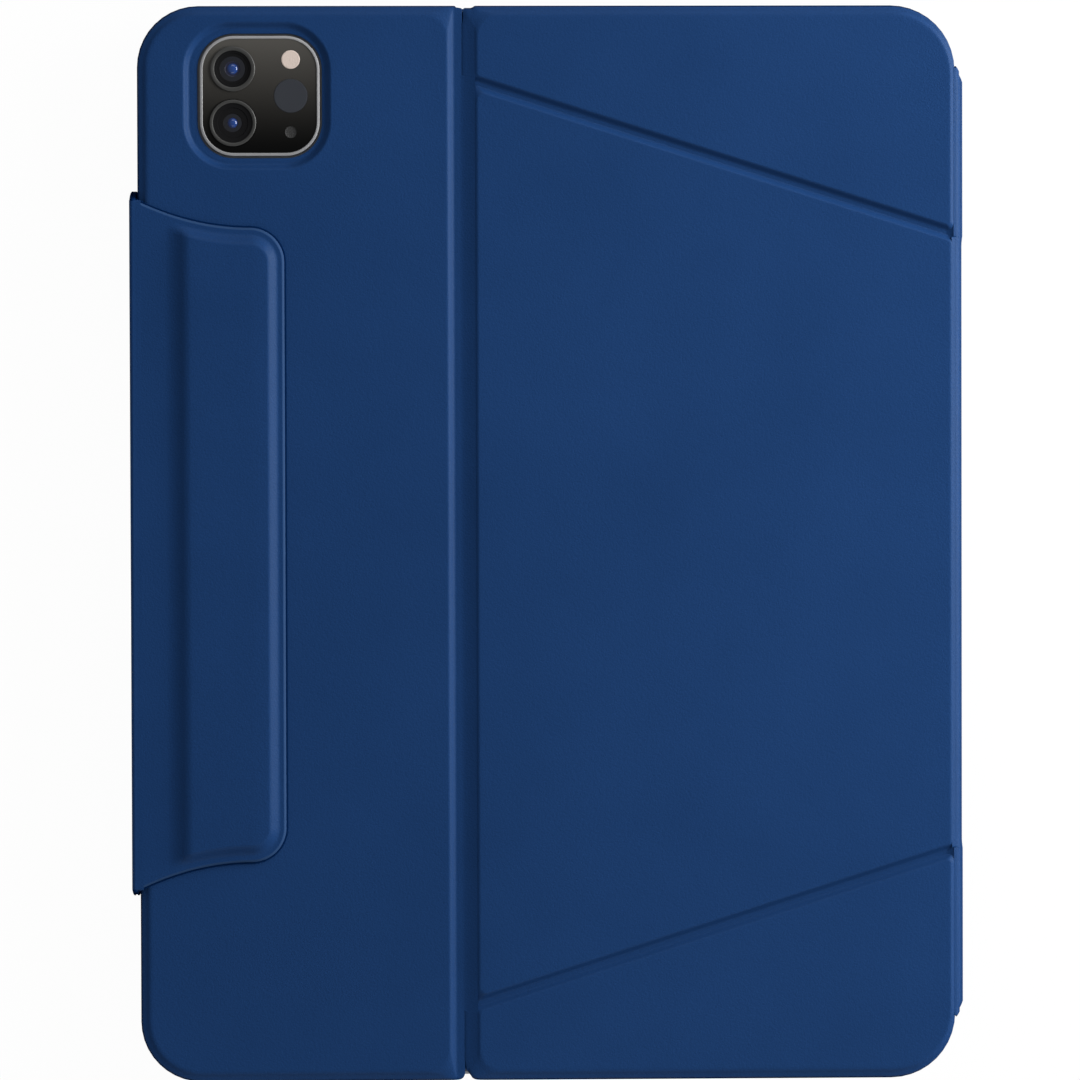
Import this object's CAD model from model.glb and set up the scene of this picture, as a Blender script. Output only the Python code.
import math
import bpy
import bmesh
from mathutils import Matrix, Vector


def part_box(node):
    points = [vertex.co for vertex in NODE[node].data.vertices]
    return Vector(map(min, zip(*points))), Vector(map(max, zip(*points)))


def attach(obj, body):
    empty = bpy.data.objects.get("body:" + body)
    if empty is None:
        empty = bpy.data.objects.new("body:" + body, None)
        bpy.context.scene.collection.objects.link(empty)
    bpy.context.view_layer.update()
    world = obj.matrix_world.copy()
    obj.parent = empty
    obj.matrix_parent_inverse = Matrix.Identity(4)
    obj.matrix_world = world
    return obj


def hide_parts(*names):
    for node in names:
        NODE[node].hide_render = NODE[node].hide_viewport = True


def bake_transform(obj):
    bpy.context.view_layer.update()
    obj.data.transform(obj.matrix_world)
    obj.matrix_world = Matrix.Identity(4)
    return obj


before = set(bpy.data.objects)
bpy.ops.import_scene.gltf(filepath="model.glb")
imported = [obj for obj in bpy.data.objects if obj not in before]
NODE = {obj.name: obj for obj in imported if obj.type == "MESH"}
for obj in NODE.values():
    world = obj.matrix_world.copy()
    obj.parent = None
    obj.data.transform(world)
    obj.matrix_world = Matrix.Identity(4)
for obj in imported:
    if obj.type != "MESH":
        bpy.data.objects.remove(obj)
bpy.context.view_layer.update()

MM = 0.001


def mm_box(node):
    lo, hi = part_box(node)
    return [c / MM for c in lo], [c / MM for c in hi]


# Sizes in millimetres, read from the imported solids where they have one
(X_LEFT, _, Z_IN), (_, HALF_H, Z_OUT) = mm_box("camera_panel_skin")
X_RIGHT = mm_box("stand_panel_skin")[1][0]
(X_SPINE, _, _), (X_SPINE_END, SPINE_HALF, _) = mm_box("spine_skin")
SPINE_T = X_SPINE_END - X_SPINE
X_AXIS = X_SPINE + SPINE_T / 2
(X_STRAP, _, _), (X_STRAP_END, STRAP_HALF, _) = mm_box("flap_strap_skin")
STRAP_T = X_STRAP_END - X_STRAP
X_FLAP = X_STRAP + STRAP_T / 2
PANEL_T = Z_OUT - Z_IN
BEAD_R = 0.55
X_FOLD = mm_box("stand_panel_skin")[0][0] + BEAD_R
COVER_EDGE = 1.2  # the height of the front cover's rolled edge
Z_FLOOR = Z_OUT - 1.15  # the floor of the folds' grooves
# Half the stand panel's height, at the main fold and at the spine
STAND_FOLD, STAND_SPINE = 107.9, 71.6
ROLL, CORNER_L, CORNER_R = 2.7, 14.2, 15.0
# How far the grooves' slopes reach from the fold lines, at the foot and at the face: left and right of the
# main fold, and beside the diagonals
FOOT_L, FOOT_R, FOOT_D = 2.2, 0.6, 0.15
FACE_L, FACE_R, DIAG = 4.6, 3.3, 2.1
SPINE_ROLL = 1.5
WEB_CUT, WING_GAP = 0.65, 0.25
LINING_T = 0.6
ARC_STEPS, EDGE_CUTS = 10, 36  # how finely a panel's corners and edges are cut up
ENDS = ((1, "upper"), (-1, "lower"))


# ---------------------------------------------------------------- outlines
def sub(a, b):
    return (a[0] - b[0], a[1] - b[1])


def add(a, b):
    return (a[0] + b[0], a[1] + b[1])


def mul(a, k):
    return (a[0] * k, a[1] * k)


def left_of(v):
    return (-v[1], v[0])


def cross(a, b):
    return a[0] * b[1] - a[1] * b[0]


def lerp(a, b, t):
    return a + (b - a) * t


def ease(t):
    """A smooth step from 0 to 1."""
    t = max(0.0, min(1.0, t))
    return t * t * (3 - 2 * t)


def unit(v):
    n = math.hypot(*v)
    return (v[0] / n, v[1] / n)


def inset(p, d):
    """The polygon p with each edge moved in by its own d."""
    out = []
    for i in range(len(p)):
        u = unit(sub(p[i], p[i - 1]))
        v = unit(sub(p[(i + 1) % len(p)], p[i]))
        a = add(p[i], mul(left_of(u), d[i - 1]))
        b = add(p[i], mul(left_of(v), d[i]))
        out.append(add(a, mul(u, cross(sub(b, a), v) / cross(u, v))))
    return out


def outline(p, r, d, steps=ARC_STEPS, cuts=EDGE_CUTS):
    """The polygon p, inset by d on each edge, with corner radii r less the inset.

    Each edge is cut up, finely near its ends."""
    q = inset(p, d)
    arcs = []
    for i in range(len(q)):
        u = unit(sub(q[i], q[i - 1]))
        v = unit(sub(q[(i + 1) % len(q)], q[i]))
        rad = max(0.35, r[i] - min(d[i], d[i - 1]))
        bend = math.acos(max(-1, min(1, u[0] * v[0] + u[1] * v[1])))
        c = add(sub(q[i], mul(u, rad * math.tan(bend / 2))), mul(left_of(u), rad))
        start = math.atan2(-left_of(u)[1], -left_of(u)[0])
        arcs.append([(c[0] + rad * math.cos(start + bend * k / steps),
                      c[1] + rad * math.sin(start + bend * k / steps)) for k in range(steps + 1)])
    out = []
    for i, arc in enumerate(arcs):
        nxt = arcs[(i + 1) % len(arcs)][0]
        out += arc
        length, near = math.hypot(*sub(nxt, arc[-1])), 12
        for k in range(1, cuts):
            if cuts < 30 or length < 20:
                t = 0.5 - 0.5 * math.cos(math.pi * k / cuts)
            else:
                fine = 0.3 * near / length
                t = lerp(fine, 1 - fine, max(0, min(1, (k - near) / (cuts - 2 * near))))
                t += 0.3 / length * (min(0, k - near) + max(0, k - cuts + near))
            out.append(add(mul(arc[-1], 1 - t), mul(nxt, t)))
    return out


def rectangle(x0, x1, y0, y1):
    return [(x0, y0), (x1, y0), (x1, y1), (x0, y1)]


def s_curve(q):
    """How far along a smooth step its height reaches q."""
    once = 0.5 - math.sin(math.asin(1 - 2 * q) / 3)
    twice = 0.5 - math.sin(math.asin(1 - 2 * once) / 3)
    return lerp(once, twice, 0.6)


# ---------------------------------------------------------------- meshes
def add_object(name, data):
    obj = bpy.data.objects.new(name, data)
    bpy.context.scene.collection.objects.link(obj)
    return obj


def metres(x, y, z):
    return (x * MM, y * MM, z * MM)


class Piece:
    """A mesh in millimetres, built from rings of points that are joined in turn."""

    def __init__(self, name):
        self.name, self.verts, self.faces, self.mats, self.holes = name, [], [], [], []

    def ring(self, points, z=None):
        start = len(self.verts)
        self.verts += [(p[0], p[1], z) if z is not None else tuple(p) for p in points]
        return list(range(start, len(self.verts)))

    def join(self, a, b, mat=0):
        n = len(a)
        for i in range(n):
            j = (i + 1) % n
            self.faces.append((a[i], a[j], b[j], b[i]))
            self.mats.append(mat[i] if isinstance(mat, list) else mat)

    def loft(self, rings, mat=0):
        ids = [self.ring(*r) if isinstance(r, tuple) else self.ring(r) for r in rings]
        for a, b in zip(ids, ids[1:]):
            self.join(a, b, mat)
        return ids

    def cap(self, ids, mat=0):
        self.faces.append(tuple(ids))
        self.mats.append(mat)

    def cap_between(self, *loops):
        """Fills the flat face between an outer loop and the holes in it."""
        self.holes.append(loops)

    def build(self, materials, warp=None, angle=40):
        """The finished object. warp moves its points, and edges over angle degrees stay sharp."""
        mesh = bpy.data.meshes.new(self.name)
        verts = [warp(*v) for v in self.verts] if warp else self.verts
        mesh.from_pydata([metres(*v) for v in verts], [], self.faces)
        mesh.update()
        for m in materials:
            mesh.materials.append(m)
        for face, m in zip(mesh.polygons, self.mats):
            face.material_index = m
        bm = bmesh.new()
        bm.from_mesh(mesh)
        bm.verts.ensure_lookup_table()
        for loops in self.holes:
            edges = []
            for ids in loops:
                for i, a in enumerate(ids):
                    pair = (bm.verts[a], bm.verts[ids[(i + 1) % len(ids)]])
                    edges.append(bm.edges.get(pair) or bm.edges.new(pair))
            bmesh.ops.triangle_fill(bm, use_beauty=True, use_dissolve=False, edges=edges)
        bmesh.ops.recalc_face_normals(bm, faces=bm.faces)
        bm.to_mesh(mesh)
        bm.free()
        mesh.shade_smooth()
        mesh.set_sharp_from_angle(angle=math.radians(angle))
        return add_object(self.name, mesh)


def place(obj, body, slot, *nodes):
    """Ties a piece to its body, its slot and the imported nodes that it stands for."""
    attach(obj, body)
    if nodes:
        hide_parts(*nodes)


def bend(obj, first, second, start, end, slot="outer_skin"):
    """Lets a piece bend between two bodies, from start to end in millimetres."""
    metres(*start)
    metres(*end)
    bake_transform(obj)


def prism(name, section, a, b, steps=24, ends=True):
    """A closed section of (offset to the right, z), swept from a to b."""
    t = unit(sub(b, a))
    n = (t[1], -t[0])
    length = math.hypot(*sub(b, a))
    cu = sum(p[0] for p in section) / len(section)
    cz = sum(p[1] for p in section) / len(section)
    stations = [(0, 0.55), (0.06, 0.8), (0.2, 0.95), (0.45, 1)] if ends else [(0, 1)]
    stations += [(0.45 + (length - 0.9) * k / steps, 1) for k in range(1, steps)]
    stations += [(length - s, k) for s, k in reversed(stations[:4 if ends else 1])]
    piece = Piece(name)
    rings = []
    for s, k in stations:
        ring = []
        for u, z in section:
            uu, zz = (cu + (u - cu) * (0.985 + 0.015 * k), cz + (z - cz) * k)
            ring.append((a[0] + t[0] * s + n[0] * uu, a[1] + t[1] * s + n[1] * uu, zz))
        rings.append(ring)
    ids = piece.loft(rings)
    piece.cap(ids[0])
    piece.cap(ids[-1])
    return piece


# ---------------------------------------------------------------- materials
def nodes_of(mat):
    mat.use_nodes = True
    tree = mat.node_tree
    return tree, next(n for n in tree.nodes if n.type == "BSDF_PRINCIPLED")


def feed(tree, socket, value):
    """Links another node's output to a socket, or sets a plain value there."""
    if isinstance(value, bpy.types.NodeSocket):
        tree.links.new(value, socket)
    else:
        socket.default_value = value


def node(tree, kind, *inputs, **values):
    """A new node. Its inputs come in their order or by name, and its settings by name."""
    n = tree.nodes.new(kind)
    for key, value in values.items():
        if key in n.inputs:
            feed(tree, n.inputs[key], value)
        else:
            setattr(n, key, value)
    for socket, value in zip(n.inputs, inputs):
        feed(tree, socket, value)
    return n


def ramp(tree, source, stops):
    r = node(tree, "ShaderNodeValToRGB", source)
    for element, (place_at, color) in zip(r.color_ramp.elements, stops):
        element.position = place_at
        element.color = (*color, 1)
    return r.outputs["Color"]


def mix(tree, blend, factor, a, b):
    """The colours a and b, blended. They are the node's seventh and eighth inputs."""
    n = node(tree, "ShaderNodeMix", data_type="RGBA", blend_type=blend, Factor=factor)
    feed(tree, n.inputs[6], a)
    feed(tree, n.inputs[7], b)
    return n.outputs[2]


def grey(v):
    return (v, v, v)


def material(name, color, rough, metallic=0.0, spec=0.5, vary=0.06, vary_size=18.0, grain=0.4,
             grain_depth=0.01, rough_vary=0.06, kind="noise", speckle=0.0, coat=0.0, coat_rough=0.1,
             sheen=0.0, detail=3.0):
    """A procedural surface: colour and roughness drift, and a bump of grain millimetres across."""
    mat = bpy.data.materials.new(name)
    tree, bsdf = nodes_of(mat)
    where = node(tree, "ShaderNodeTexCoord").outputs["Object"]

    def noise(size, vector=where, **values):
        return node(tree, "ShaderNodeTexNoise", Vector=vector, Scale=1 / (size * MM), **values)

    drift = noise(vary_size, Detail=4.0, Roughness=0.55).outputs["Fac"]
    low = [c * (1 - vary) for c in color]
    high = [min(1, c * (1 + vary)) for c in color]
    base = ramp(tree, drift, [(0.3, low), (0.7, high)])
    if kind == "leather":
        fine = noise(grain * 0.45, Detail=detail).outputs["Fac"]
        wobble = noise(grain * 2.2, Detail=2.0).outputs["Color"]
        moved = node(tree, "ShaderNodeVectorMath", wobble, [grain * 0.9 * MM] * 3, where,
                     operation="MULTIPLY_ADD").outputs["Vector"]
        cells = node(tree, "ShaderNodeTexVoronoi", feature="SMOOTH_F1", Vector=moved,
                     Scale=1 / (grain * MM), Smoothness=0.35).outputs["Distance"]
        relief = node(tree, "ShaderNodeMath", cells, -1.0, fine, operation="MULTIPLY_ADD").outputs["Value"]
    elif kind == "brushed":
        along = node(tree, "ShaderNodeMapping", Vector=where, Scale=(1, 0.02, 1)).outputs["Vector"]
        relief = fine = noise(grain, along, Detail=detail).outputs["Fac"]
    elif kind == "suede":
        relief = fine = noise(grain, Detail=6.0, Roughness=0.7).outputs["Fac"]
        nap = noise(9, Detail=2.0, Distortion=1.2).outputs["Fac"]
        base = mix(tree, "MIX", 0.6, base, ramp(tree, nap, [(0.42, low), (0.6, high)]))
    else:
        relief = fine = noise(grain, Detail=detail, Roughness=0.6).outputs["Fac"]
    if speckle:
        dots = ramp(tree, fine, [(0.3, grey(1 - speckle)), (0.7, grey(1))])
        base = mix(tree, "MULTIPLY", 1.0, base, dots)
    smooth, dull = max(0.02, rough - rough_vary), min(1, rough + rough_vary)
    rub = ramp(tree, drift, [(0.25, grey(smooth)), (0.75, grey(dull))])
    bump = node(tree, "ShaderNodeBump", Strength=1.0, Distance=grain_depth * MM, Height=relief)
    sockets = {"Base Color": base, "Roughness": rub, "Normal": bump.outputs["Normal"], "Metallic": metallic,
               "Specular IOR Level": spec, "Coat Weight": coat, "Coat Roughness": coat_rough,
               "Sheen Weight": sheen}
    for key, value in sockets.items():
        feed(tree, bsdf.inputs[key], value)
    return mat


NAVY = (0.0095, 0.04, 0.133)
LEATHER = material("navy_leather", NAVY, 0.45, spec=0.085, kind="leather", grain=0.5, grain_depth=0.03,
                   vary=0.05, vary_size=40, speckle=0.22, rough_vary=0.04, detail=4.0)
ROLLED = material("navy_leather_rolled", NAVY, 0.44, spec=0.085, kind="leather", grain=0.5,
                  grain_depth=0.026, vary=0.05, vary_size=25, speckle=0.2, rough_vary=0.04)
for mat in (LEATHER, ROLLED):
    nodes_of(mat)[1].inputs["Specular Tint"].default_value = (0.74, 0.93, 1.0, 1)
PAINT = material("edge_paint", (0.002, 0.0145, 0.062), 0.7, spec=0.0, grain=0.2, grain_depth=0.015)
CUT_EDGE = material("painted_cut_edge", (0.02, 0.052, 0.13), 0.6, spec=0.05, grain=0.15, grain_depth=0.02)
SUEDE = material("microfibre_lining", (0.085, 0.105, 0.14), 0.93, spec=0.15, kind="suede", grain=0.12,
                 grain_depth=0.03, vary=0.13, sheen=0.35)
BOARD = material("pressed_board", (0.46, 0.4, 0.3), 0.85, grain=0.5, grain_depth=0.03, speckle=0.25)
MAGNET = material("nickel_plating", (0.62, 0.61, 0.58), 0.28, metallic=1.0, grain=0.3, grain_depth=0.003)
DECK = material("satin_deck", (0.022, 0.024, 0.029), 0.48, grain=0.16, grain_depth=0.008, speckle=0.12)
BASE = material("moulded_base", (0.018, 0.019, 0.022), 0.6, grain=0.25, grain_depth=0.012)
KEY = material("key_cap", (0.013, 0.014, 0.016), 0.42, grain=0.1, grain_depth=0.005, vary_size=6,
               rough_vary=0.08, speckle=0.1)
SILICONE = material("dome_silicone", (0.55, 0.53, 0.47), 0.4, grain=0.4, grain_depth=0.006)
LINKS = material("acetal_links", (0.7, 0.7, 0.66), 0.35, grain=0.3, grain_depth=0.004)
CIRCUIT = material("solder_mask", (0.012, 0.1, 0.045), 0.35, grain=1.3, grain_depth=0.03, speckle=0.35,
                   vary_size=3)
BATTERY = material("foil_pouch", (0.56, 0.57, 0.59), 0.35, metallic=0.85, grain=1.2, grain_depth=0.02)
STEEL = material("port_steel", (0.56, 0.56, 0.55), 0.26, metallic=1.0, kind="brushed", grain=0.06,
                 grain_depth=0.003)
LIGHT_PIPE = material("light_pipe", (0.7, 0.76, 0.7), 0.2, grain=0.2, grain_depth=0.004)
RUBBER = material("bumper_rubber", (0.016, 0.016, 0.017), 0.75, grain=0.12, grain_depth=0.01)
PAD = material("trackpad_face", (0.034, 0.036, 0.042), 0.33, grain=0.08, grain_depth=0.002, rough_vary=0.04)
SWITCH = material("switch_cap", (0.6, 0.62, 0.65), 0.4, grain=0.1, grain_depth=0.004)
SHELL = material("anodised_shell", (0.2, 0.205, 0.215), 0.38, metallic=0.9, grain=0.07, grain_depth=0.004)
GLASS = material("display_glass", (0.006, 0.006, 0.007), 0.05, spec=0.5, grain=2.0, grain_depth=0.0005,
                 rough_vary=0.02, coat=0.3, coat_rough=0.02)
TRIM = material("polished_trim", (0.31, 0.31, 0.315), 0.5, metallic=0.35, kind="brushed", grain=0.05,
                grain_depth=0.001)
RING = material("lens_ring_metal", (0.042, 0.042, 0.04), 0.45, metallic=0.3, grain=0.08, grain_depth=0.001)
BARREL = material("lens_barrel", (0.003, 0.003, 0.0035), 0.6, spec=0.12, grain=0.1, grain_depth=0.003)
LENS = material("lens_glass", (0.004, 0.005, 0.009), 0.08, spec=0.5, grain=2.0, grain_depth=0.0003,
                rough_vary=0.01, coat=0.5, coat_rough=0.02)
FLASH = material("flash_diffuser", (0.6, 0.5, 0.44), 0.35, kind="leather", grain=0.35, grain_depth=0.02)
SENSOR = material("smoked_window", (0.03, 0.033, 0.04), 0.3, spec=0.25, grain=1.0, grain_depth=0.001)
MESH = material("microphone_mesh", (0.01, 0.01, 0.01), 0.6, kind="leather", grain=0.25, grain_depth=0.05)
PLATE = material("camera_plate_glass", (0.006, 0.006, 0.0055), 0.3, spec=0.1, grain=1.5, grain_depth=0.0006,
                 rough_vary=0.03)


def fade_up(mat, low, high, power):
    """Colour that brightens towards +Y, as smoked glass does towards the light."""
    tree, bsdf = nodes_of(mat)
    split = node(tree, "ShaderNodeSeparateXYZ", node(tree, "ShaderNodeTexCoord").outputs["Generated"])
    bend = node(tree, "ShaderNodeMath", split.outputs["Y"], power, operation="POWER")
    feed(tree, bsdf.inputs["Base Color"], ramp(tree, bend.outputs["Value"], [(0.0, low), (1.0, high)]))


fade_up(PLATE, (0.0012, 0.0012, 0.0012), (0.075, 0.071, 0.064), 1.7)

for names, mat in [
    ("front_board spine_board stand_panel_board camera_panel_board upper_wing_board lower_wing_board "
     "flap_tab_plate", BOARD),
    ("dock_magnets stand_panel_magnets camera_panel_magnets flap_tab_magnets", MAGNET),
    ("dock_bar keyboard_deck", DECK), ("keyboard_base", BASE), ("dome_sheet", SILICONE),
    ("scissor_links", LINKS), ("circuit_board", CIRCUIT), ("battery_cells", BATTERY),
    ("usb_port keyboard_screws trackpad_switch", STEEL), ("status_lights", LIGHT_PIPE),
    ("trackpad", PAD), ("power_switch", SWITCH), ("tablet_glass", GLASS), ("camera_plate", PLATE),
]:
    for name in names.split():
        mesh = NODE[name].data
        mesh.materials.clear()
        mesh.materials.append(mat)

# ---------------------------------------------------------------- panels
HEIGHTS = [0, 0.004, 0.015, 0.04, 0.08, 0.14, 0.2, 0.26, 0.32, 0.38, 0.45, 0.52, 0.6, 0.68, 0.76, 0.84, 0.91,
           0.96, 0.985, 0.997, 1.0]
# How far in from its side an edge is at each share of its height, as a share of the whole way in
ROLL_SHAPE = [(0, 0.1), (0.12, 0.105), (0.25, 0.13), (0.33, 0.17), (0.38, 0.24), (0.45, 0.33), (0.53, 0.43),
              (0.6, 0.5), (0.68, 0.56), (0.78, 0.62), (0.86, 0.68), (0.92, 0.75), (0.96, 0.82), (0.985, 0.9),
              (1, 1)]
SLOPE_SHAPE = [(0, 0), (0.32, 0), (0.38, 0.02), (0.43, 0.07), (0.565, 0.25), (0.74, 0.48), (0.86, 0.64),
               (0.94, 0.76), (0.98, 0.86), (1, 1)]
# The main fold's floor rises from there, to that share of the groove's depth
RISE_FROM, RISE_SHARE, RISE_POWER = 1.0, 0.76, 1.25
RISE = RISE_SHARE * (Z_OUT - Z_FLOOR) - 0.02
RISE_END = lerp(FOOT_R, FACE_R, s_curve(RISE_SHARE))


def between(shape, q):
    """Where a shape's line is at q."""
    for (q0, v0), (q1, v1) in zip(shape, shape[1:]):
        if q <= q1:
            return lerp(v0, v1, (q - q0) / (q1 - q0))
    return shape[-1][1]


def floor_height(u):
    """How high the main fold's floor is, u to the right of the fold line."""
    return 0.02 + RISE * (max(0.0, u + RISE_FROM) / (RISE_FROM + RISE_END)) ** RISE_POWER


def edge_inset(kind, q, side, foot, face):
    """How far in a panel's edge is, at the share q of its height from foot to face."""
    if kind == "roll":
        return lerp(side, face, between(ROLL_SHAPE, q))
    if kind == "slope":
        return lerp(side, face, between(SLOPE_SHAPE, q))
    if kind == "rise":
        z = q * (Z_OUT - Z_FLOOR)
        if z < floor_height(side):
            return side
        if z < floor_height(RISE_END):
            return (RISE_FROM + RISE_END) * ((z - 0.02) / RISE) ** (1 / RISE_POWER) - RISE_FROM
    return lerp(foot, face, s_curve(q))


def panel_rings(p, r, kinds, side, foot, face, z_face, z_root, z_inner, lining, face_r=None, tuck=None):
    """Rings of a leather-wrapped panel, from the lining's edge round the side to the flat face.

    roll and slope are its free sides; fold is a thin flap that slopes up from its foot, and rise is one
    that follows the floor of the fold first. tuck draws the side in next to the tablet."""
    up = 1 if z_face > z_inner else -1
    free = [k in ("roll", "slope") for k in kinds]
    low = [s + t for s, t in zip(side, tuck or four(0))]
    z_tuck = z_inner + up * (LINING_T + 0.1)
    rings = [(lining, z_inner + up * LINING_T), (lining, z_inner), ([s + 0.35 for s in low], z_inner),
             ([s + 0.12 for s in low], z_inner + up * 0.08), (low, z_inner + up * 0.3), (low, z_tuck),
             (side, z_tuck + up * 0.03), (side, z_root - up * 0.12),
             ([s if f else s + 0.1 for s, f in zip(side, free)], z_root - up * 0.01)]
    rings = [(outline(p, r, d), z) for d, z in rings]
    end_r = [(face_r[i] if face_r else 0) + min(face[i], face[i - 1]) for i in range(len(r))]
    for q in HEIGHTS:
        d = [edge_inset(*values) for values in zip(kinds, [q] * len(r), side, foot, face)]
        rr = [lerp(a, max(a, b), q) for a, b in zip(r, end_r)]
        rings.append((outline(p, rr, d), z_root + (z_face - z_root) * q))
    rings.append((outline(p, rr, [c + 0.4 for c in face]), z_face))
    return rings


def wrap(piece, kinds, rings):
    """Lofts a panel's rings. Along the rolled sides, the turned leather's edge is painted dark."""
    ids = piece.loft(rings[:9])
    top = piece.loft(rings[9:])
    paint = []
    for i, kind in enumerate(kinds):
        corner = {kind, kinds[i - 1]}
        paint += [int("roll" in corner and corner <= {"roll", "slope"})] * ARC_STEPS
        paint += [int(kind == "roll")] * EDGE_CUTS
    piece.join(ids[-1], top[0], paint)
    return ids + top


def four(v):
    return [v] * 4


def lining_piece(name, p, r, d, z0, z1, body, node_name, hole=None, warp=None):
    """A lining with a soft edge on its open side, z0."""
    up = 1 if z1 > z0 else -1
    piece = Piece(name)
    rings = [(outline(p, r, d), z1), (outline(p, r, d), z0 + up * 0.2),
             (outline(p, r, [x + 0.06 for x in d]), z0 + up * 0.06),
             (outline(p, r, [x + 0.2 for x in d]), z0), (outline(p, r, [x + 0.6 for x in d]), z0)]
    ids = piece.loft(rings)
    if hole:
        inner = piece.loft([(hole(0), z1), (hole(0), z0 + up * 0.2), (hole(0.06), z0 + up * 0.06),
                            (hole(0.2), z0), (hole(0.6), z0)])
        piece.cap_between(ids[-1], inner[-1])
        piece.cap_between(ids[0], inner[0])
    else:
        piece.cap(ids[-1])
        piece.cap(ids[0])
    place(piece.build([SUEDE], warp=warp), body, "lining", node_name)


# Front cover
COVER = rectangle(X_LEFT, X_RIGHT, -HALF_H, HALF_H)
COVER_R = [CORNER_L, CORNER_R, CORNER_R, CORNER_L]
cover = Piece("front_cover_leather")
kinds = ["roll"] * 4
ids = wrap(cover, kinds, panel_rings(COVER, COVER_R, kinds, four(0), four(0), four(ROLL), 0, COVER_EDGE,
                                     PANEL_T, four(1)))
cover.cap(ids[-1])
place(cover.build([LEATHER, PAINT]), "keyboard_cover", "outer_skin", "front_skin")
lining_piece("front_cover_lining", COVER, COVER_R, four(1), PANEL_T, PANEL_T - LINING_T,
             "keyboard_cover", "front_lining")

# Stand panel
STAND = [(X_FOLD, -STAND_FOLD), (X_RIGHT, -STAND_SPINE), (X_RIGHT, STAND_SPINE), (X_FOLD, STAND_FOLD)]
stand = Piece("stand_panel_leather")
ids = stand.loft(panel_rings(STAND, [2, 0.8, 0.8, 2], ["fold", "slope", "fold", "fold"],
                             [BEAD_R, 0, BEAD_R, BEAD_R], [FOOT_D, 0, FOOT_D, FOOT_R],
                             [DIAG, SPINE_ROLL, DIAG, FACE_R], Z_OUT, Z_FLOOR, Z_IN,
                             [BEAD_R + 0.4, 1, BEAD_R + 0.4, BEAD_R + 0.4], face_r=[1.2, 0.6, 0.6, 1.2]))
stand.cap(ids[-1])
place(stand.build([LEATHER]), "stand_panel", "outer_skin", "stand_panel_skin")
lining_piece("stand_panel_suede", STAND, four(2), [BEAD_R + 0.4, 1, BEAD_R + 0.4, BEAD_R + 0.4],
             Z_IN, Z_IN + LINING_T, "stand_panel", "stand_panel_lining")

# Wings
def wing_points(s):
    p = [(X_FOLD, STAND_FOLD), (X_RIGHT, STAND_SPINE), (X_RIGHT, HALF_H), (X_FOLD, HALF_H)]
    return p if s > 0 else [(x, -y) for x, y in reversed(p)]


def wing_values(v, s):
    """Edge values for the upper wing, or turned round for the lower one."""
    return v if s > 0 else [v[2], v[1], v[0], v[3]]


def fold_notch(x, y, z):
    """The main fold's groove ends just short of the panels' upper end, and in a deeper notch at the lower."""
    deep = 0.5 * ease((x - X_FOLD + 2.35) / 0.4) * ease((X_FOLD + 2.3 - x) / 0.5)
    if y < 0:
        deep = max(0, 2.12 / (1 + (abs(x - X_FOLD + 0.05) / 0.75) ** 2.6) - 0.02)
    return (x, y - math.copysign(deep * ease((abs(y) - HALF_H + 4) / 4), y), z)


def wing_warp(x, y, z):
    """The slit beside a wing closes up towards the fold's web, and the wing's edge dips to meet the slit."""
    dip = 0.1 * ease((X_FOLD + 0.5 - x) / 0.9) * max(0, min(1, (z - Z_FLOOR) / 0.13))
    if x < X_FOLD + 0.2 and z > Z_IN + LINING_T + 0.11:
        x -= 0.29 * ease((HALF_H - 2.5 - abs(y)) / 2.5)
    return fold_notch(x, y, z - dip)


for s, word in ENDS:
    p = wing_points(s)
    r = [0, 0.8, CORNER_R, 0] if s > 0 else [0, CORNER_R, 0.8, 0]
    kinds = wing_values(["fold", "slope", "roll", "rise"], s)
    side = wing_values([WEB_CUT, WING_GAP, 0, -0.35], s)
    foot = wing_values([FOOT_D, WING_GAP, 0, FOOT_R], s)
    face = wing_values([DIAG, SPINE_ROLL, ROLL, FACE_R], s)
    lining = wing_values([WEB_CUT + 0.4, WING_GAP + 1, 1, 1.2], s)
    tuck = wing_values([0, 0, 0, 0.8], s)
    face_r = [0.8, 0.6, CORNER_R - ROLL, 4.5] if s > 0 else [4.5, CORNER_R - ROLL, 0.6, 0.8]
    wing = Piece(word + "_wing_leather")
    rings = panel_rings(p, r, kinds, side, foot, face, Z_OUT, Z_FLOOR, Z_IN, lining, face_r, tuck)
    ids = wrap(wing, kinds, rings)
    wing.cap(ids[-1])
    place(wing.build([LEATHER, PAINT], warp=wing_warp), word + "_wing", "outer_skin", word + "_wing_skin")
    lining_piece(word + "_wing_suede", p, r, lining, Z_IN, Z_IN + LINING_T, word + "_wing",
                 word + "_wing_lining", warp=fold_notch)

# Camera panel, with the recess round the island
(IX0, IY0, Z_TRIM0), (IX1, IY1, Z_TRIM1) = mm_box("camera_trim")
ISLAND_CORNER = 8


def island(grow, shift=0.0):
    p = rectangle(IX0 - grow - shift, IX1 + grow - shift, IY0 - grow, IY1 + min(grow, 3.0 + 0.1 * grow))
    return outline(p, four(ISLAND_CORNER + grow), four(0), 12, 4)


CAMERA = rectangle(X_LEFT, X_FOLD, -HALF_H, HALF_H)
CAM_R = [CORNER_L, 0.35, 0.35, CORNER_L]
CAM_LINING = [1, -0.1, 1, 1]  # it runs on below the slits beside the wings
cam = Piece("camera_panel_leather")
kinds = ["roll", "fold", "roll", "roll"]
outer = wrap(cam, kinds, panel_rings(CAMERA, CAM_R, kinds, [0, WEB_CUT, 0, 0], [0, FOOT_L, 0, 0],
                                     [ROLL, FACE_L, ROLL, ROLL], Z_OUT, Z_FLOOR, Z_IN,
                                     [1, WEB_CUT + 0.4, 1, 1], [CORNER_L - ROLL, 4.5, 4.5, CORNER_L - ROLL]))
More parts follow.
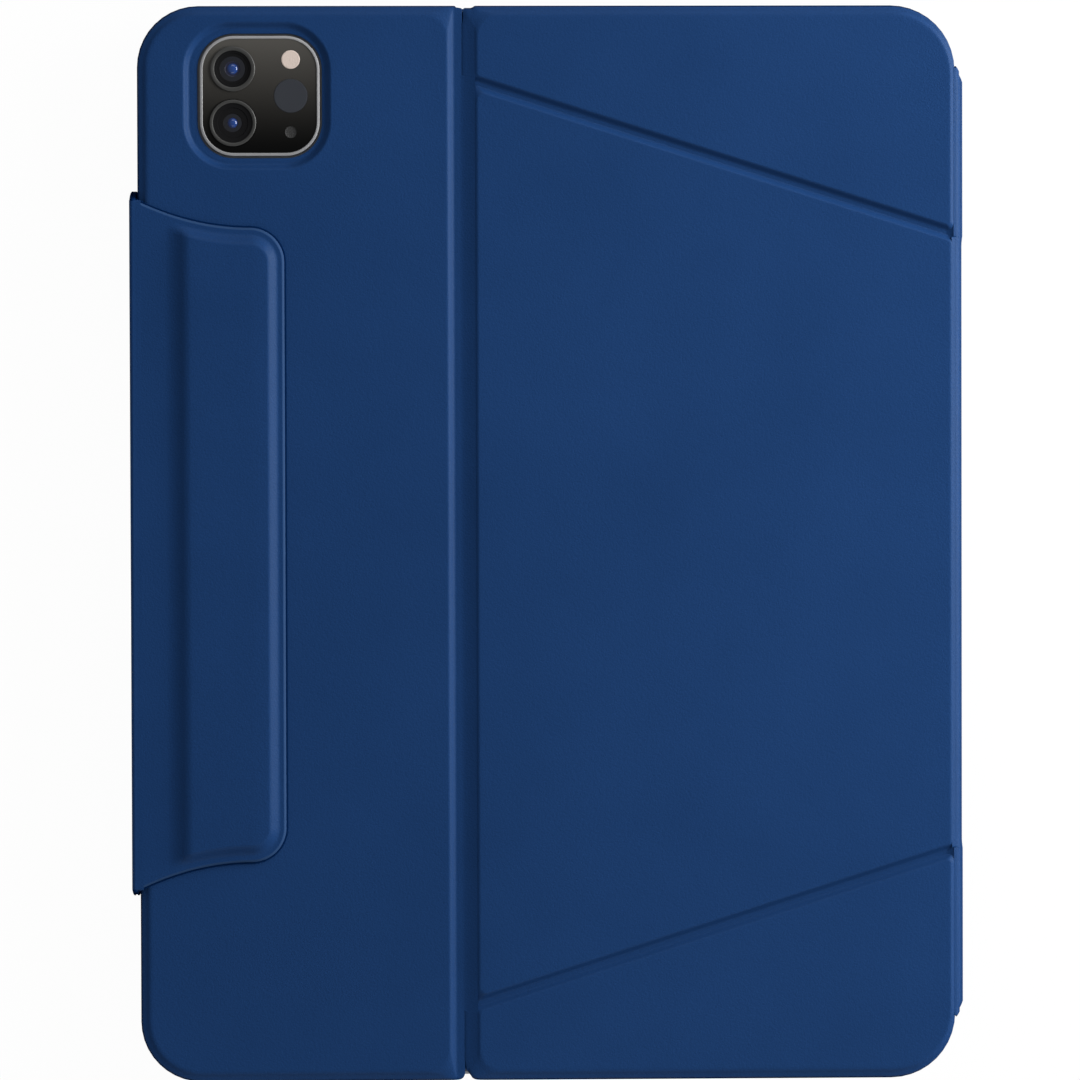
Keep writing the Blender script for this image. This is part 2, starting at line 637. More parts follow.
# The recess round the island: its hole, the slope's foot and its top, and how far the slope lies to the left
WELL_IN, WELL_FOOT, WELL_OUT, WELL_SHIFT = 0.35, 1.3, 3.4, 0.65
rings = [(island(WELL_IN + 0.7), Z_IN + LINING_T), (island(WELL_IN + 0.7), Z_IN),
         (island(WELL_IN + 0.25), Z_IN), (island(WELL_IN), Z_IN + 0.12), (island(WELL_IN), Z_FLOOR - 0.15),
         (island(WELL_IN + 0.04), Z_FLOOR - 0.05), (island(WELL_IN + 0.15), Z_FLOOR)]
rings += [(island(lerp(WELL_FOOT, WELL_OUT, s_curve(q)), WELL_SHIFT), lerp(Z_FLOOR, Z_OUT, q))
          for q in HEIGHTS]
rings += [(island(WELL_OUT + 0.4, WELL_SHIFT), Z_OUT)]
inner = cam.loft(rings)
cam.cap_between(outer[-1], inner[-1])
place(cam.build([LEATHER, PAINT], warp=fold_notch), "camera_panel", "outer_skin", "camera_panel_skin")
lining_piece("camera_panel_suede", CAMERA, CAM_R, CAM_LINING, Z_IN, Z_IN + LINING_T, "camera_panel",
             "camera_panel_lining", hole=lambda g: island(WELL_IN + 0.7 + g), warp=fold_notch)
# Dark strips under the slits, on the lining
for y0, y1 in ((STAND_FOLD - 1, HALF_H - 1.3), (2.6 - HALF_H, 1 - STAND_FOLD)):
    section = [(u, Z_IN + z) for u, z in ((-1.0, 0.69), (-0.04, 0.69), (0, 0.65), (0, 0.61), (-1.0, 0.61))]
    strip = prism("slit_backing", section, (X_FOLD - 0.02, y0), (X_FOLD - 0.02, y1), 8)
    place(strip.build([PAINT], angle=60), "camera_panel", "outer_skin")


# ---------------------------------------------------------------- webs across the folds
def web(name, u0, u1, z_top, depth, a, b, body, mat, slot, rise=False):
    """A thin strip across a crease, from u0 to u1 to the right of the line from a to b.

    It joins a body to the stand panel. With rise, it follows the main fold's floor, just below it."""
    n = 12
    across = [lerp(u0, u1, k / n) for k in range(n + 1)]
    top = [(u, Z_FLOOR + floor_height(u) - 0.012 if rise else z_top) for u in across]
    section = top + [(u, z - depth) for u, z in reversed(top)]
    obj = prism(name, section, a, b, ends=False).build([mat], angle=60)
    t = unit(sub(b, a))
    nrm = (t[1], -t[0])
    mid = mul(add(a, b), 0.5)
    start = add(mid, mul(nrm, u0 + 0.35))
    end = add(mid, mul(nrm, u1 - 0.35))
    bend(obj, body, "stand_panel", (*start, z_top), (*end, z_top), slot)


def fold_webs(name, u0, u1, z_top, a, b, body, rise=False):
    """The leather over a fold and the suede under it."""
    web(name + "_leather", u0, u1, z_top, 0.42, a, b, body, LEATHER, "outer_skin", rise)
    web(name + "_suede", -WEB_CUT - 0.7, BEAD_R + 0.7, Z_IN + 0.5, 0.4, a, b, body, SUEDE, "lining")


fold_a, fold_b = (X_FOLD, -STAND_FOLD - 1.0), (X_FOLD, STAND_FOLD + 1.0)
fold_webs("main_fold", -FOOT_L, RISE_END + 0.05, Z_FLOOR + 0.02, fold_a, fold_b, "camera_panel", rise=True)
for s, word in ENDS:
    a, b = (X_FOLD, s * STAND_FOLD), (X_RIGHT, s * STAND_SPINE)
    t = unit(sub(b, a))
    a, b = add(a, mul(t, 0.5)), sub(b, mul(t, 0.1))
    if s < 0:
        a, b = b, a
    # for both, the stand panel lies to the right of the line
    fold_webs(word + "_diagonal", -WEB_CUT - 0.3, BEAD_R + 0.3, Z_FLOOR + 0.01, a, b, word + "_wing")

# ---------------------------------------------------------------- spine
def arc_points(cx, cz, r, a0, a1, n):
    """Points on an arc about (cx, cz), from a0 to a1 degrees."""
    return [(cx + r * math.cos(math.radians(lerp(a0, a1, k / n))),
             cz + r * math.sin(math.radians(lerp(a0, a1, k / n)))) for k in range(n + 1)]


Z_LOW, Z_HIGH = SPINE_T / 2, Z_OUT - SPINE_T / 2
# The top goes on down from the panels' sloping edges, and ends in a narrow ledge
SPINE_TOP = [(0.0, -0.74), (0.15, -0.82), (0.3, -0.9), (0.45, -0.98), (0.6, -1.07), (0.68, -1.14),
             (0.75, -1.25), (0.8, -1.36), (0.88, -1.43), (1.1, -1.47), (1.35, -1.51), (1.44, -1.58),
             (1.48, -1.7), (1.5, -1.9)]
spine_section = [(X_SPINE + u, Z_OUT + z) for u, z in reversed(SPINE_TOP)] + [(X_SPINE, Z_OUT - 0.9)]
spine_section += [(X_SPINE, lerp(Z_HIGH, Z_LOW, k / 6)) for k in range(1, 6)]
spine_section += arc_points(X_AXIS, Z_LOW, SPINE_T / 2, 180, 360, 14)
spine_section += [(X_SPINE_END, lerp(Z_LOW, Z_HIGH - 2.0, k / 6)) for k in range(1, 6)]


def spine_warp(x, y, z):
    """The spine's outer face steps in towards its ends, and a little beside the stand panel."""
    if x <= X_SPINE:
        return (x, y, z)
    far = abs(y)
    k = 1 - 0.5 * ease((far - SPINE_HALF + 3.4) / 0.9) - 0.45 * ease((far - SPINE_HALF + 1.1) / 1.0)
    k -= 0.14 * ease((STAND_SPINE - 1.3 - far) / 0.8)
    k -= 0.1 * ease((STAND_SPINE - 0.7 - far) / 0.5) * ease((far - STAND_SPINE + 2.0) / 0.5)
    return (X_SPINE + (x - X_SPINE) * k, y, z)


spine = prism("spine_leather", spine_section, (0, -SPINE_HALF), (0, SPINE_HALF), 260)
place(spine.build([ROLLED], warp=spine_warp, angle=60), "spine", "outer_skin", "spine_skin")
for s, word in ENDS:
    y0, y1 = sorted((s * (STAND_SPINE - 0.38), s * (SPINE_HALF - 0.5)))
    top = [(X_RIGHT - 0.62, Z_OUT - 0.6), (X_RIGHT - 0.52, Z_OUT - 0.495), (X_RIGHT - 0.42, Z_OUT - 0.53),
           (X_RIGHT - 0.2, Z_OUT - 0.6), (X_RIGHT, Z_OUT - 0.67), (X_SPINE + 0.02, Z_OUT - 0.73)]
    top += [(X_SPINE + u, Z_OUT + z + 0.012) for u, z in SPINE_TOP[1:5]]
    section = top + [(X_SPINE + 0.6, Z_OUT - 1.3), (X_RIGHT - 0.3, Z_OUT - 1.3)]
    flange = prism(word + "_spine_flange", section, (0, y0), (0, y1), 60)
    place(flange.build([ROLLED], warp=spine_warp, angle=60), "spine", "outer_skin")
    # The diagonal groove's floor comes up to the flange at its end
    section = [(X_RIGHT - u, Z_OUT - z) for u, z in ((2.6, 1.17), (1.9, 1.11), (0.9, 0.76), (0.55, 0.6),
                                                     (0.3, 0.61), (0.3, 1.3), (2.6, 1.3))]
    y0, y1 = sorted((s * (STAND_SPINE - 1.4), s * (STAND_SPINE + 2.4)))
    groove_end = prism(word + "_groove_end", section, (0, y0), (0, y1), 8)
    place(groove_end.build([LEATHER]), "stand_panel", "outer_skin")


def crease_web(name, top, thick, half, first, second, start, end):
    """Leather from a panel's rounded edge over the bead that it turns on, along the spine."""
    bottom = [(lerp(x, X_AXIS - 0.2, 0.12), z - thick) for x, z in reversed(top)]
    strip = prism(name, top + bottom, (0, -half), (0, half), 120)
    obj = strip.build([ROLLED], warp=spine_warp, angle=60)
    bend(obj, first, second, (start[0], 0, start[1]), (end[0], 0, end[1]))


lid_top = [(X_RIGHT - 1.0, Z_OUT - 0.16), (X_RIGHT - 0.75, Z_OUT - 0.28), (X_RIGHT - 0.4, Z_OUT - 0.47),
           (X_RIGHT - 0.1, Z_OUT - 0.61), (X_RIGHT + 0.05, Z_OUT - 0.66)]
lid_top += [(X_SPINE + u, Z_OUT + z + 0.02) for u, z in SPINE_TOP[1:7]]
crease_web("lid_crease_leather", lid_top, 0.3, STAND_SPINE - 0.4, "stand_panel", "spine",
           (X_RIGHT - 0.2, Z_OUT - 0.3), (X_RIGHT + 0.5, Z_OUT - 0.3))
low_top = [(X_RIGHT - 1.0, 0.12), (X_RIGHT - 0.5, 0.26), (X_RIGHT - 0.15, 0.36), (X_RIGHT + 0.12, 0.38),
           (X_RIGHT + 0.3, 0.3)]
low_top += [(x, max(0.004, z)) for x, z in arc_points(X_AXIS, Z_LOW, SPINE_T / 2 + 0.02, 235, 355, 9)]
crease_web("cover_crease_leather", low_top, -0.3, SPINE_HALF - 0.6, "keyboard_cover", "spine",
           (X_RIGHT - 0.2, 0.3), (X_RIGHT + 0.5, 0.1))

# ---------------------------------------------------------------- closing flap
TAB_LO, TAB_HI = mm_box("flap_tab_skin")
Z_TAB, Z_PAD = TAB_LO[2], TAB_HI[2]
Z_TAB_TOP = Z_TAB + 1.0
Z_TAB_AXIS = Z_TAB_TOP - STRAP_T / 2
TAB_FOLD, TAB_HALF, TAB_CORNER = 80.4, 73.65, 8
X_TAB0, X_TAB1 = TAB_LO[0], TAB_HI[0] + 0.25
X_FLARE = X_TAB1 - TAB_CORNER

strap = Piece("flap_strap_leather")
section = arc_points(X_FLAP, Z_TAB_AXIS, STRAP_T / 2, 0, 180, 14)
section += [(X_STRAP, lerp(Z_TAB_AXIS, STRAP_T / 2, k / 8)) for k in range(1, 8)]
section += arc_points(X_FLAP, STRAP_T / 2, STRAP_T / 2, 180, 360, 14)
section += [(X_STRAP + STRAP_T, lerp(STRAP_T / 2, Z_TAB_AXIS, k / 8)) for k in range(1, 8)]
stations = [(-1, 0.5, 0), (-1, 0.8, 0.08), (-1, 0.95, 0.25), (-1, 1, 0.5)]
stations += [(-1 + 2 * k / 40, 1, 0.5) for k in range(1, 40)]
stations += [(1, k, s) for _, k, s in reversed(stations[:4])]
rings = []
for f, k, s in stations:
    ring = []
    for x, z in section:
        t = (z - STRAP_T / 2) / (Z_TAB_AXIS - STRAP_T / 2)
        half = lerp(STRAP_HALF, TAB_FOLD, max(0, min(1, t)) ** 2)
        y = f * (half - (s if abs(f) == 1 else 0.5))
        ring.append((X_FLAP + (x - X_FLAP) * k, y, z))
    rings.append(ring)
ids = [strap.ring(ring) for ring in rings]
for i in range(len(ids) - 1):
    strap.join(ids[i], ids[i + 1], int(i < 4 or i > len(ids) - 6))
strap.cap(ids[0], 1)
strap.cap(ids[-1], 1)
place(strap.build([ROLLED, PAINT], angle=60), "flap_strap", "outer_skin", "flap_strap_skin")


def tab_half_at(x):
    """Half the tab's width, which grows towards the crease."""
    return TAB_HALF + (TAB_FOLD - TAB_HALF) * max(0, (X_FLARE - x) / (X_FLARE - X_FLAP)) ** 2


def tab_outline(d):
    """The tab's edge, drawn in by d, from the end's upper corner round to the lower one."""
    r = TAB_CORNER - d
    upper = [(X_FLARE + r * math.cos(a), TAB_HALF - TAB_CORNER + r * math.sin(a))
             for a in [math.pi / 2 * k / 12 for k in range(13)]]
    upper += [(x, tab_half_at(x) - d) for x in [lerp(X_FLARE, X_TAB0, k / 22) for k in range(1, 23)]]
    end = [(X_TAB0, lerp(1, -1, k / 20) * (tab_half_at(X_TAB0) - d)) for k in range(1, 20)]
    lower = [(x, -y) for x, y in reversed(upper)]
    return upper + end + lower


# The raised pad: its slope next to the crease, then its border and slope along the tab's edge
PAD_X0, FOLD_SLOPE, STEEPEST = X_STRAP + 8.2, 6.1, 0.63
BORDER_SIDE, BORDER_END = 1.3, 1.35
SLOPE_SIDE, SLOPE_END = 2.85, 2.95
PAD_COLUMNS = [PAD_X0 + FOLD_SLOPE * k / 20 for k in range(21)]
PAD_COLUMNS += [lerp(PAD_COLUMNS[-1], X_FLARE, k / 8) for k in range(1, 9)]


def pad_height(x, k):
    """The height over (x, the share k of the way up the slope at the tab's edge)."""
    t = max(0.0, min(1.0, (x - PAD_X0) / FOLD_SLOPE))
    over = max(0.0, t - STEEPEST)
    share = min(t, STEEPEST) ** 2 / STEEPEST + 2 * over - over ** 2 / (1 - STEEPEST)
    return lerp(Z_TAB_TOP, Z_PAD, share * k)


def pad_arm(k, z_share):
    """A U-shaped line round the pad, k slopes in from its foot, from top left to bottom left."""
    side, end = BORDER_SIDE + k * SLOPE_SIDE, BORDER_END + k * SLOPE_END
    arm = [(x, tab_half_at(x) - end) for x in PAD_COLUMNS]
    for i in range(1, 13):
        t = math.pi / 2 * (1 - i / 12)
        arm.append((X_FLARE + (TAB_CORNER - side) * math.cos(t),
                    TAB_HALF - TAB_CORNER + (TAB_CORNER - end) * math.sin(t)))
    arm += [(arm[-1][0], lerp(arm[-1][1], 0, i / 12)) for i in range(1, 12)]
    line = arm + [(arm[-1][0], 0)] + [(x, -y) for x, y in reversed(arm)]
    return [(x, y, pad_height(x, z_share)) for x, y in line]


PAD_P = [(PAD_X0, -TAB_HALF - 1), (X_TAB1 - BORDER_SIDE, -TAB_HALF + BORDER_END),
         (X_TAB1 - BORDER_SIDE, TAB_HALF - BORDER_END), (PAD_X0, TAB_HALF + 1)]
PAD_R = [2, TAB_CORNER - 0.9, TAB_CORNER - 0.9, 2]
CORE = [4.3, 4.3, 4.3, 5.9]
tab = Piece("flap_tab_leather")


def core(d):
    return outline(PAD_P, PAD_R, [c + d for c in CORE], 12, 16)


under = tab.loft([(core(0), Z_TAB + 0.5), (core(0), Z_TAB + 0.1), (core(-0.12), Z_TAB), (core(-0.6), Z_TAB)])
# A dark backing shows past the leather, whose own cut edge is pale
edge = tab.loft([(tab_outline(0.5), Z_TAB), (tab_outline(-0.4), Z_TAB), (tab_outline(-0.45), Z_TAB + 0.06),
                 (tab_outline(-0.4), Z_TAB + 0.13), (tab_outline(0.02), Z_TAB + 0.14),
                 (tab_outline(0), Z_TAB + 0.2), (tab_outline(0), Z_TAB_TOP - 0.42)], mat=2)
tab.cap_between(edge[0], under[-1])
cut = tab.loft([(tab_outline(0.12), Z_TAB_TOP - 0.28), (tab_outline(0.32), Z_TAB_TOP - 0.12),
                (tab_outline(0.5), Z_TAB_TOP - 0.03)], mat=1)
tab.join(edge[-1], cut[0], 1)
top = tab.loft([(tab_outline(0.58), Z_TAB_TOP), (tab_outline(0.7), Z_TAB_TOP)])
tab.join(cut[-1], top[0])

arms = [tab.ring(pad_arm(k, ease(k))) for k in [i / 14 for i in range(15)]]
for one, two in zip(arms, arms[1:]):
    for i in range(len(one) - 1):
        tab.faces.append((one[i], one[i + 1], two[i + 1], two[i]))
        tab.mats.append(0)
# Inside the last arm, straight rows across the pad
inner, n_col, rows = arms[-1], len(PAD_COLUMNS), 10
columns = []
for i, x in enumerate(PAD_COLUMNS):
    y = tab_half_at(x) - BORDER_END - SLOPE_END
    between = tab.ring([(x, y * (1 - 2 * k / rows), pad_height(x, 1)) for k in range(1, rows)])
    columns.append([inner[i]] + between + [inner[-1 - i]])
for one, two in zip(columns, columns[1:]):
    for i in range(rows):
        tab.faces.append((one[i], one[i + 1], two[i + 1], two[i]))
        tab.mats.append(0)
tab.cap(list(inner[n_col - 1:len(inner) - n_col + 1]) + columns[-1][-2:0:-1])
foot = list(arms[0]) + [a[-1] for a in arms[1:]] + columns[0][-2:0:-1] + [a[0] for a in reversed(arms[1:])]
tab.cap_between(top[-1], foot)
place(tab.build([LEATHER, CUT_EDGE, PAINT]), "flap_tab", "outer_skin", "flap_tab_skin")
lining_piece("flap_tab_suede", PAD_P, PAD_R, CORE, Z_TAB, Z_TAB + 0.5, "flap_tab", "flap_tab_lining")


def flap_web(name, cz, flip_z, half, edge_z, first, second):
    """Leather from the tab, or the cover's lip, round the strap's bead."""
    r, edge_x = STRAP_T / 2 + 0.025, X_TAB0 - X_FLAP + 0.1
    top = [(edge_x + 0.9, edge_z), (edge_x + 0.4, edge_z), (edge_x, edge_z - 0.02)]
    turn = [math.radians(a) for a in (80, 95, 110, 125, 140, 155, 172)]
    top += [(r * math.cos(a), r * math.sin(a)) for a in turn]
    bottom = [(x, z - 0.4) if x > 0.2 else (x * 0.5, z * 0.5) for x, z in top]
    section = [(X_FLAP + x, cz + flip_z * z) for x, z in top + bottom[::-1]]
    obj = prism(name, section, (0, -half), (0, half), 40).build([ROLLED], angle=60)
    bend(obj, first, second, (X_FLAP - 0.6, 0, cz + flip_z * 0.35),
         (X_FLAP + edge_x + 0.1, 0, cz + flip_z * r))


flap_web("tab_crease_leather", Z_TAB_AXIS, 1, TAB_FOLD - 0.35, STRAP_T / 2 + 0.012,
         "flap_strap", "flap_tab")
flap_web("strap_crease_leather", STRAP_T / 2, -1, STRAP_HALF - 0.35, STRAP_T / 2 - 0.02,
         "flap_strap", "keyboard_cover")

# The lip that the strap is sewn to, let into the front cover
lip = Piece("strap_lip_leather")
LIP = rectangle(X_TAB0, X_LEFT + 3.2, -STRAP_HALF + 0.2, STRAP_HALF - 0.2)
ids = lip.loft([(outline(LIP, four(0.6), four(d), 4, 8), z)
                for d, z in ((0.1, 0.68), (0, 0.55), (0, 0.15), (0.06, 0.03), (0.25, 0))])
lip.cap(ids[0])
lip.cap(ids[-1])
place(lip.build([ROLLED]), "keyboard_cover", "outer_skin")

# ---------------------------------------------------------------- tablet and camera island
(tx0, ty0, _), (tx1, ty1, Z_BACK) = mm_box("tablet_shell")
Z_SCREEN = mm_box("tablet_glass")[0][2]
shell = Piece("tablet_case")


def tablet(d):
    return outline(rectangle(tx0, tx1, ty0, ty1), four(12), four(d), 12, 12)


SHELL_LOW = [(0.45, 0.9), (0.42, 0.06), (0.3, 0.01), (0.12, 0.08), (0.02, 0.28), (0, 0.5)]
SHELL_HIGH = [(0, -0.8), (0.05, -0.5), (0.22, -0.2), (0.5, -0.04), (0.8, 0), (1.4, 0)]
ids = shell.loft([(tablet(d), Z_SCREEN + z) for d, z in SHELL_LOW] +
                 [(tablet(d), Z_BACK + z) for d, z in SHELL_HIGH])
shell.cap(ids[-1])
place(shell.build([SHELL]), "stand_panel", "tablet_metal", "tablet_shell")

trim = Piece("camera_trim_ring")
ids = trim.loft([(island(-0.02), Z_TRIM0), (island(0), Z_TRIM0 + 0.4), (island(0), Z_IN),
                 (island(-0.15), Z_IN + 0.2), (island(-0.15), Z_TRIM1 - 0.22),
                 (island(-0.19), Z_TRIM1 - 0.06), (island(-0.27), Z_TRIM1), (island(-0.74), Z_TRIM1),
                 (island(-0.81), Z_TRIM1 - 0.06), (island(-0.86), Z_TRIM1 - 0.26),
                 (island(-0.9), Z_TRIM0 + 0.1)])
place(trim.build([TRIM]), "stand_panel", "trim_metal", "camera_trim")


def circle(cx, cy, r):
    turn = [2 * math.pi * k / 64 for k in range(64)]
    return [(cx + r * math.cos(a), cy + r * math.sin(a)) for a in turn]


def lathe(name, cx, cy, profile, mats, cap=True):
    """profile is (radius, z, material of the band that ends there)."""
    piece = Piece(name)
    last = None
    for r, z, m in profile:
        ids = piece.ring(circle(cx, cy, r), z)
        if last:
            piece.join(last, ids, m)
        last = ids
    if cap:
        piece.cap(last, profile[-1][2])
    return piece.build(mats, angle=35)


CX, CY = (IX0 + IX1) / 2, (IY0 + IY1) / 2
Z_PLATE = mm_box("camera_plate")[1][2]
# From the island's centre: the lenses, and the small windows across and along it
LENS_OFF, SMALL_OFF, SMALL_STEP = 6.25, 7.2, 8.4
Z_RING = Z_PLATE + 0.4

COATED = material("lens_coating", (0.006, 0.035, 0.17), 0.12, spec=0.5, grain=2.0, grain_depth=0.0003,
                  rough_vary=0.01, coat=0.6, coat_rough=0.05)
LENS_RING = material("lens_inner_ring", (0.012, 0.013, 0.03), 0.3, spec=0.3, grain=0.1, grain_depth=0.001)


def lens(word, cx, cy, ring_r, ring_w, bore, glass_r, core_r, *nodes):
    """A metal ring, a stepped black barrel, a dark glass and the small blue element behind it."""
    wall = ring_r - ring_w
    prof = [(ring_r, -0.12, 0), (ring_r - 0.08, -0.03, 0), (ring_r - 0.2, 0, 0), (wall + 0.1, 0, 0),
            (wall, -0.06, 0), (wall - 0.04, -0.25, 0), (wall - 0.1, -0.26, 1), (bore + 0.06, -0.3, 1),
            (bore, -0.42, 1), (glass_r + 0.1, -0.46, 1), (glass_r, -0.55, 1)]
    prof = [(ring_r, Z_PLATE - 0.7, 0)] + [(r, Z_RING + z, mat) for r, z, mat in prof]
    ring = lathe(word + "_lens_ring", cx, cy, prof, [RING, BARREL], cap=False)
    place(ring, "stand_panel", "lens_ring", *nodes[:1])
    prof = [(glass_r + 0.05, -0.75, 0), (glass_r, -0.55, 0), (glass_r * 0.75, -0.47, 0),
            (glass_r * 0.62, -0.46, 0), (glass_r * 0.6, -0.5, 1), (core_r + 0.12, -0.52, 1),
            (core_r, -0.5, 2)]
    prof += [(max(0.02, core_r * math.cos(t)), -0.5 + 0.42 * math.sin(t), 2)
             for t in [math.pi / 2 * k / 8 for k in range(1, 9)]]
    prof = [(r, Z_RING + z, mat) for r, z, mat in prof]
    glass = lathe(word + "_lens_glass", cx, cy, prof, [LENS, LENS_RING, COATED])
    place(glass, "stand_panel", "lens_glass", *nodes[1:])


lens("upper", CX - LENS_OFF, CY + LENS_OFF, 5.2, 0.9, 3.65, 2.9, 1.1, "lens_rings", "lens_glasses")
lens("lower", CX - LENS_OFF, CY - LENS_OFF, 5.4, 0.75, 3.5, 2.1, 0.95)


def window(name, y, profile, mat, slot, node_name):
    """A small round window in the island's plate. profile is (radius, height over the plate)."""
    rings = [(r, Z_PLATE + z, 0) for r, z in profile]
    place(lathe(name, CX + SMALL_OFF, y, rings, [mat]), "stand_panel", slot, node_name)


ripples = [(1.8 - 0.25 * i, 0.03 if i % 2 else 0.075) for i in range(7)]
window("flash_lens", CY + SMALL_STEP, [(2.15, -0.6), (2.15, 0.02), (2.05, 0.07)] + ripples, FLASH,
       "flash_white", "camera_flash")
window("sensor_window", CY, [(3.9, -0.6), (3.9, 0), (3.82, 0.03), (3.6, 0.03), (1.0, 0.03)], SENSOR,
       "sensor_dark", "range_sensor")
window("microphone_grille", CY - SMALL_STEP, [(1.35, -0.7), (1.35, -0.06), (1.25, -0.1), (0.6, -0.14)],
       MESH, "rubber_pad", "camera_microphone")

# ---------------------------------------------------------------- keys
KEYS_END, KEYS_TOP, Z_DECK = mm_box("keyboard_deck")[1]
Z_KEY = mm_box("space_bar")[1][2]
# Each row's depth, the function row's, the width of one key, the gap between keys and how many keys wide the
# field is. It starts from the deck's side and end.
ROW, FUNCTION_ROW, PITCH, KEY_GAP, ACROSS, FROM_SIDE, FROM_END = 14.6, 8.6, 16.2, 2.2, 14.5, 2.6, 2.2
ARROW_GAP = 1.2
ROWS = [[ACROSS / 14] * 14, [1] * 13 + [1.5], [1.5] + [1] * 13, [1.75] + [1] * 11 + [1.75],
        [2.25] + [1] * 10 + [2.25], [1, 1, 1, 1.25, 5, 1.25, 1, 1, 1, 1]]
NAMES = {"function": "function_keys", "number": "number_keys", "upper": "upper_letter_keys",
         "home": "home_letter_keys", "lower": "lower_letter_keys", "modifier": "modifier_keys",
         "arrow": "arrow_keys", "space": "space_bar", "return": "return_key", "backspace": "backspace_key",
         "left_shift": "left_shift_key", "right_shift": "right_shift_key"}
# Each row's group of keys, and the keys in it that belong to another
OWNERS = [("function", {}), ("number", {13: "backspace"}), ("upper", {0: "modifier"}),
          ("home", {0: "modifier", 12: "return"}), ("lower", {0: "left_shift", 11: "right_shift"}),
          ("modifier", {4: "space", 7: "arrow", 8: "arrow", 9: "arrow"})]

cells = {}
for r, row in enumerate(ROWS):
    cx = KEYS_END - FROM_END - (FUNCTION_ROW / 2 if r == 0 else FUNCTION_ROW + (r - 0.5) * ROW)
    deep = (FUNCTION_ROW if r == 0 else ROW) - KEY_GAP
    for i, w in enumerate(row):
        cy = KEYS_TOP - FROM_SIDE - (sum(row[:i]) + w / 2) * PITCH
        wide = w * PITCH - KEY_GAP
        who = OWNERS[r][1].get(i, OWNERS[r][0])
        if who != "arrow":
            cells.setdefault(who, []).append((cx, cy, deep, wide))
            continue
        half_deep = (ROW - KEY_GAP - ARROW_GAP) / 2
        for s in ((-1, 1) if i == 8 else (-1,)):
            cells.setdefault(who, []).append((cx + s * (half_deep + ARROW_GAP) / 2, cy, half_deep, wide))

for who, keys in cells.items():
    piece = Piece(NAMES[who] + "_caps")
    for cx, cy, dx, dy in keys:
        p = rectangle(cx - dx / 2, cx + dx / 2, cy - dy / 2, cy + dy / 2)
        small = min(dx, dy) / 2
        rings = [(0.8, Z_KEY - 0.85), (0.8, Z_DECK - 0.35), (0.7, Z_DECK - 0.4), (0.08, Z_DECK - 0.4),
                 (0, Z_DECK - 0.3), (0.12, Z_KEY - 0.32), (0.2, Z_KEY - 0.13), (0.36, Z_KEY - 0.03),
                 (0.6, Z_KEY), (0.85, Z_KEY - 0.012)]
        rings += [(k * small, Z_KEY - 0.14 * (1 - (1 - k) ** 2)) for k in (0.3, 0.5, 0.7)]
        ids = piece.loft([(outline(p, four(1.2 + 0.25 * d), four(d), 5, 3), z) for d, z in rings])
        piece.cap(ids[-1])
        piece.cap(ids[0])
    place(piece.build([KEY]), NAMES[who], "key", NAMES[who])

# Bumpers, as domed rubber feet on the palm rest
(bx0, by0, bz0), (bx1, by1, bz1) = mm_box("bumpers")
BUMPER_R = 2.6
profile = [(BUMPER_R, bz0, 0), (2.58, bz0 + 0.5, 0), (2.45, bz1 - 0.25, 0), (2.2, bz1 - 0.08, 0),
           (1.8, bz1 - 0.02, 0), (1.0, bz1, 0)]
spots = [(x, y) for x in (bx0 + BUMPER_R, bx1 - BUMPER_R) for y in (by0 + BUMPER_R, by1 - BUMPER_R)]
for i, (x, y) in enumerate(spots):
    foot = lathe("bumper_%d" % i, x, y, profile, [RUBBER])
    place(foot, "keyboard_cover", "rubber_pad", *(["bumpers"] if i == 0 else []))

# ---------------------------------------------------------------- stage, light and camera
floor_mesh = bpy.data.meshes.new("floor")
FLOOR_HALF, FLOOR_Z = 3.0, -0.0002  # metres
corners = rectangle(-FLOOR_HALF, FLOOR_HALF, -FLOOR_HALF, FLOOR_HALF)
floor_mesh.from_pydata([(x, y, FLOOR_Z) for x, y in corners], [], [(0, 1, 2, 3)])
add_object("floor", floor_mesh)
floor_mat = bpy.data.materials.new("pale_floor")
tree, bsdf = nodes_of(floor_mat)
bsdf.inputs["Base Color"].default_value = (0.86, 0.86, 0.86, 1)
bsdf.inputs["Roughness"].default_value = 0.9
bsdf.inputs["Specular IOR Level"].default_value = 0.0
floor_mesh.materials.append(floor_mat)
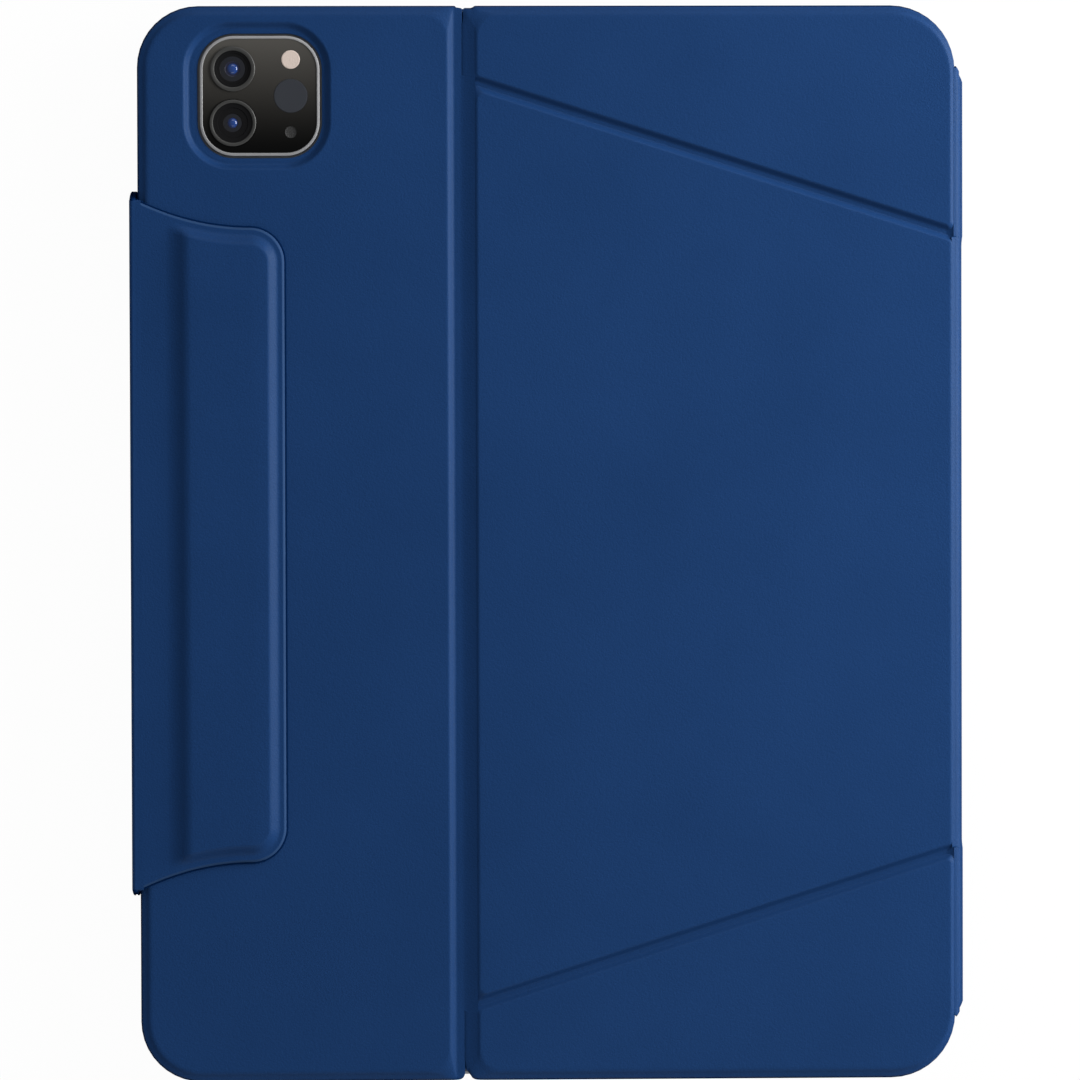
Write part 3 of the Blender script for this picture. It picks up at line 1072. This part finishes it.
# The floor shows as a white backdrop with a faint shadow, to the eye and in reflections
path = node(tree, "ShaderNodeLightPath")
BACKDROP_SHARE = 0.97
seen = path.outputs["Is Camera Ray"]
for ray in ("Is Glossy Ray", "Is Transmission Ray"):
    seen = node(tree, "ShaderNodeMath", seen, path.outputs[ray], operation="MAXIMUM").outputs[0]
share = node(tree, "ShaderNodeMath", seen, BACKDROP_SHARE, operation="MULTIPLY")
glow = node(tree, "ShaderNodeEmission", Color=(1, 1, 1, 1), Strength=1.0)
backdrop = node(tree, "ShaderNodeMixShader", share.outputs[0], bsdf.outputs[0], glow.outputs[0])
out = next(n for n in tree.nodes if n.type == "OUTPUT_MATERIAL")
tree.links.new(backdrop.outputs[0], out.inputs["Surface"])

world = bpy.data.worlds.new("studio")
bpy.context.scene.world = world
world.use_nodes = True
sky = world.node_tree.nodes["Background"]
sky.inputs["Color"].default_value = (0.95, 0.97, 1.0, 1)
sky.inputs["Strength"].default_value = 0.273


AIM = Vector((0, 0, 0.01))


def lamp(name, loc, size, power):
    """A soft box that faces the object. Its place and size are in metres."""
    data = bpy.data.lights.new(name, "AREA")
    data.shape = "RECTANGLE"
    data.size, data.size_y = size
    data.energy = power
    obj = add_object(name, data)
    obj.location = loc
    obj.rotation_euler = (AIM - Vector(loc)).to_track_quat("-Z", "Y").to_euler()


lamp("key", (0.6, 0.19, 0.27), (0.57, 0.44), 9.15)
lamp("fill", (0.1, 1.0, 0.7), (0.9, 0.6), 3.3)
lamp("low_fill", (0.0, -1.0, 0.7), (0.9, 0.6), 2.4)

camera = bpy.data.cameras.new("camera")
cam_obj = add_object("camera", camera)
bpy.context.scene.camera = cam_obj
# The camera's distance and a pixel's size on the back's face, both in metres, and the picture's width
DIST, PX, WIDTH = 1.5, 0.2325 * MM, 1080
camera.sensor_width = 36.0
camera.sensor_fit = "HORIZONTAL"
camera.lens = camera.sensor_width * (DIST - Z_OUT * MM) / (WIDTH * PX)
camera.clip_start, camera.clip_end = 0.05, 20
# It stands a little towards the top and the left, so those ends are drawn slightly larger, with a slight turn
cam_obj.rotation_euler = (math.radians(-1.75), math.radians(-1.83), math.radians(-0.16))
look_at = Vector((-1.84, 0.98, Z_OUT)) * MM
cam_obj.location = look_at + cam_obj.rotation_euler.to_matrix() @ Vector((0, 0, DIST - Z_OUT * MM))

bpy.context.scene.view_settings.view_transform = "Standard"
